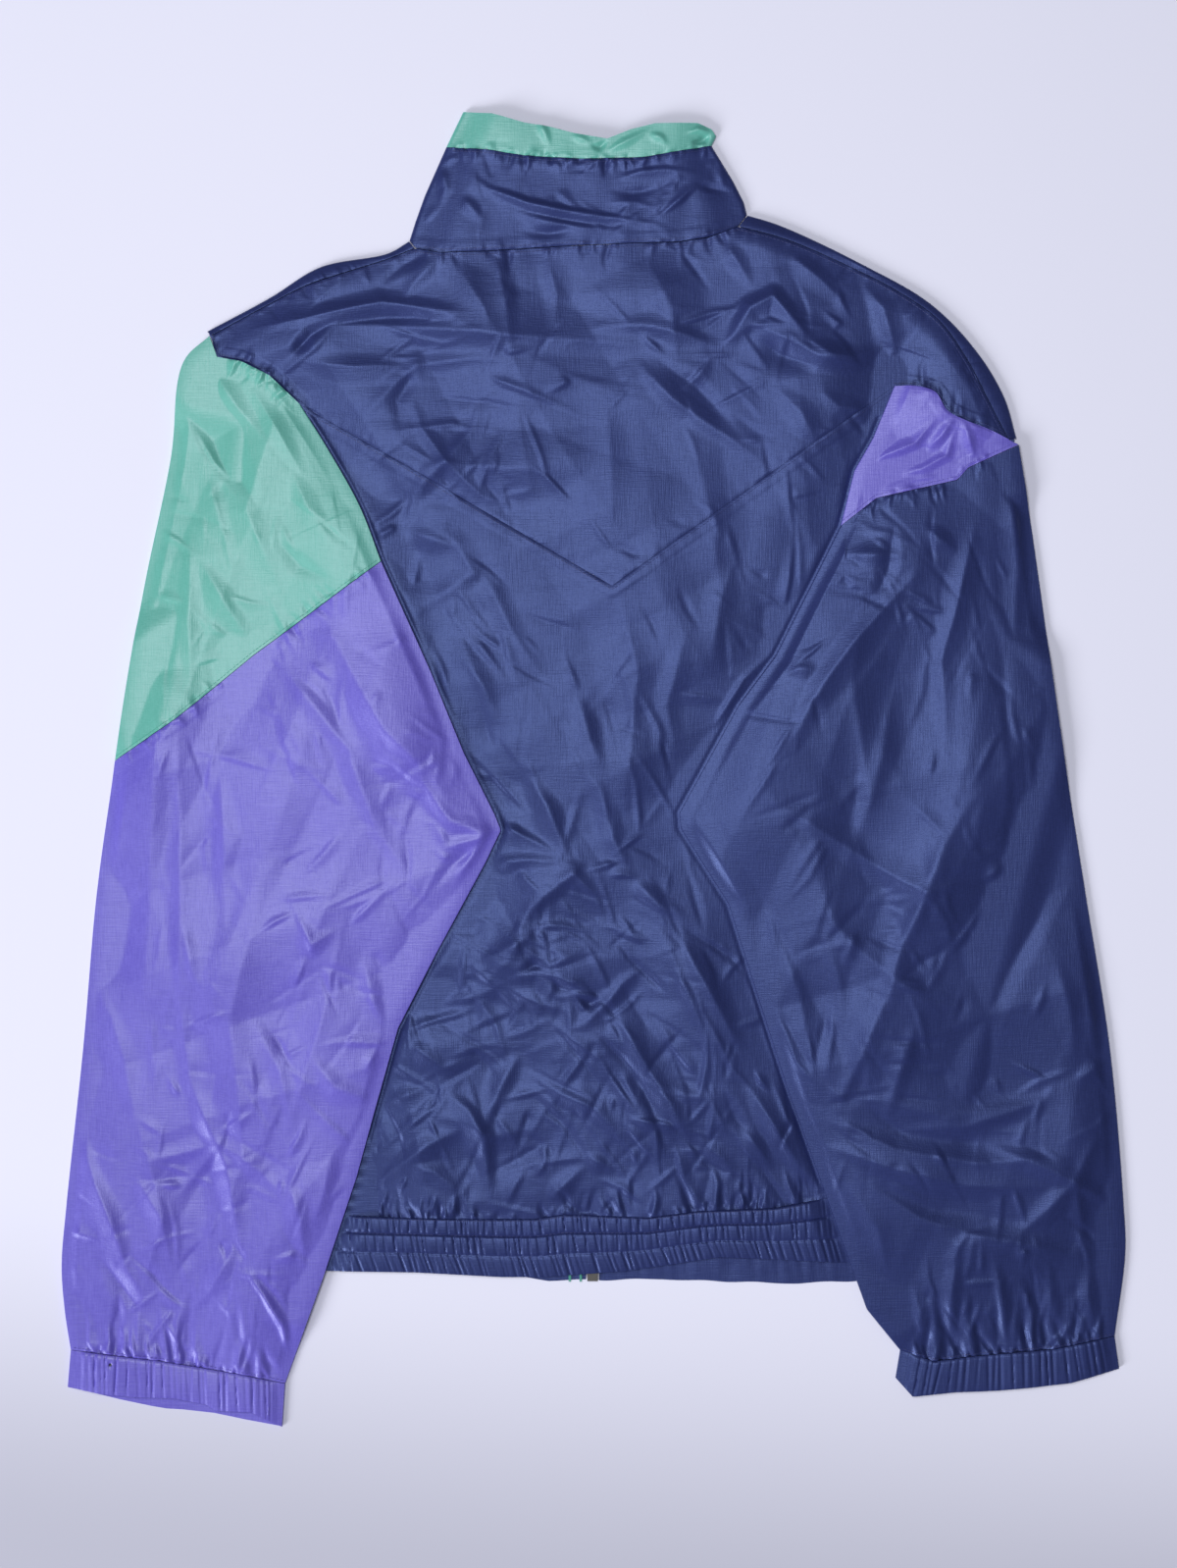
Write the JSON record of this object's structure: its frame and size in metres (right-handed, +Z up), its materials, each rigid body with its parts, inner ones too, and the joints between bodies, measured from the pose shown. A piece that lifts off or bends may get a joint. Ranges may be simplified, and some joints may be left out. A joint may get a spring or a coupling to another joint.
{
  "type": "windbreaker jacket",
  "caption": "Colour-block nylon windbreaker laid face down on a flat surface, back up, with a stand collar, a V back yoke, elastic waist and cuffs, and both sleeves lying over the back.",
  "frame": {"origin": "centre of the jacket's outline on the surface that it lies on", "axes": "+Z up from the surface, +Y along the back towards the collar, +X to the right of someone looking down at the back, which is the wearer's right"},
  "size_m": [0.6933, 0.857, 0.0109],
  "materials": {
    "navy_nylon": "crumpled satin nylon taffeta",
    "purple_nylon": "crumpled satin nylon taffeta",
    "green_nylon": "crumpled satin nylon taffeta",
    "zip_tape": "woven zip tape",
    "zip_metal": "nickel-plated"
  },
  "bodies": {
    "jacket": {"back_yoke": "navy_nylon", "back_body": "navy_nylon", "front_left": "navy_nylon", "front_right": "navy_nylon", "collar_stand": "navy_nylon", "collar_top": "green_nylon", "waistband_back": "navy_nylon", "waistband_front_left": "navy_nylon", "waistband_front_right": "navy_nylon", "sleeve_left_upper": "green_nylon", "sleeve_left_lower": "purple_nylon", "cuff_left": "purple_nylon", "sleeve_right_upper": "purple_nylon", "sleeve_right_lower": "navy_nylon", "cuff_right": "navy_nylon", "zip_tape_left": "zip_tape", "zip_tape_right": "zip_tape", "zip_chain": "zip_tape", "zip_box": "zip_metal", "zip_slider": "zip_metal"},
    "pull_tab": {"zip_pull": "zip_metal"}
  },
  "joints": [
    {"name": "pull_tab_hinge", "type": "hinge", "parent": "jacket", "child": "pull_tab", "pos_m": [-0.0006, 0.354, 0.0008], "axis": [1, 0, 0], "range_deg": [0, 130]}
  ]
}
